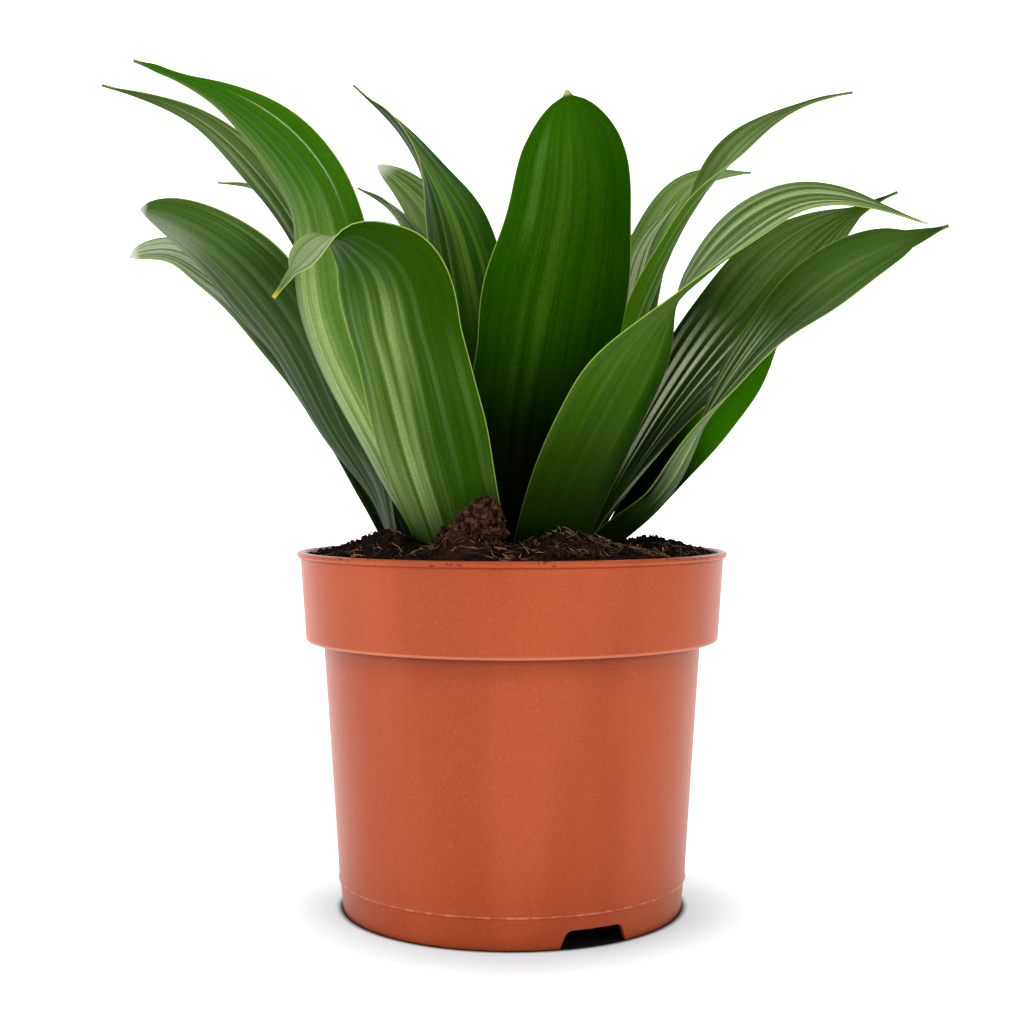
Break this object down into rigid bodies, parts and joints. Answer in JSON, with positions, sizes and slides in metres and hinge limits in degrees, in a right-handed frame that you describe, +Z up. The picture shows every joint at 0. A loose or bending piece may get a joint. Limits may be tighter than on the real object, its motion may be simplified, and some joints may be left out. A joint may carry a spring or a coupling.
{
  "type": "potted dracaena",
  "caption": "Compact broad-leaved dracaena: a rosette of long arching leaves on a short buried cane, in a round banded plastic nursery pot filled with potting soil.",
  "frame": {"origin": "centre of the pot's base on the surface it stands on, under the pot's axis", "axes": "+Z up along the pot's axis; +X to the viewer's right and -Y towards the viewer of the plant's front"},
  "size_m": [0.2309, 0.1425, 0.2364],
  "materials": {
    "pot_plastic": "satin moulded plastic in terracotta colour, with specks of soil dust",
    "soil": "loose dark peat with crumbs and straw-coloured fibres",
    "cane": "smooth green cane",
    "leaf": "waxy satin green leaf with paler stripes and a thin pale margin"
  },
  "bodies": {
    "root": {"pot": "pot_plastic", "potting_soil": "soil", "stem": "cane", "leaf_front_left": "leaf", "leaf_front_right": "leaf", "leaf_front_broad": "leaf", "leaf_right_low": "leaf", "leaf_right": "leaf", "leaf_right_back_low": "leaf", "leaf_right_tall": "leaf", "leaf_back_right": "leaf", "leaf_back_right_inner": "leaf", "leaf_back_short": "leaf", "leaf_back": "leaf", "leaf_back_left": "leaf", "leaf_back_left_inner": "leaf", "leaf_back_left_tall": "leaf", "leaf_left_back": "leaf", "leaf_left_low": "leaf", "leaf_left_wide": "leaf", "leaf_left_upper": "leaf", "leaf_left_tall": "leaf", "leaf_heart": "leaf", "leaf_spear": "leaf"}
  },
  "joints": []
}
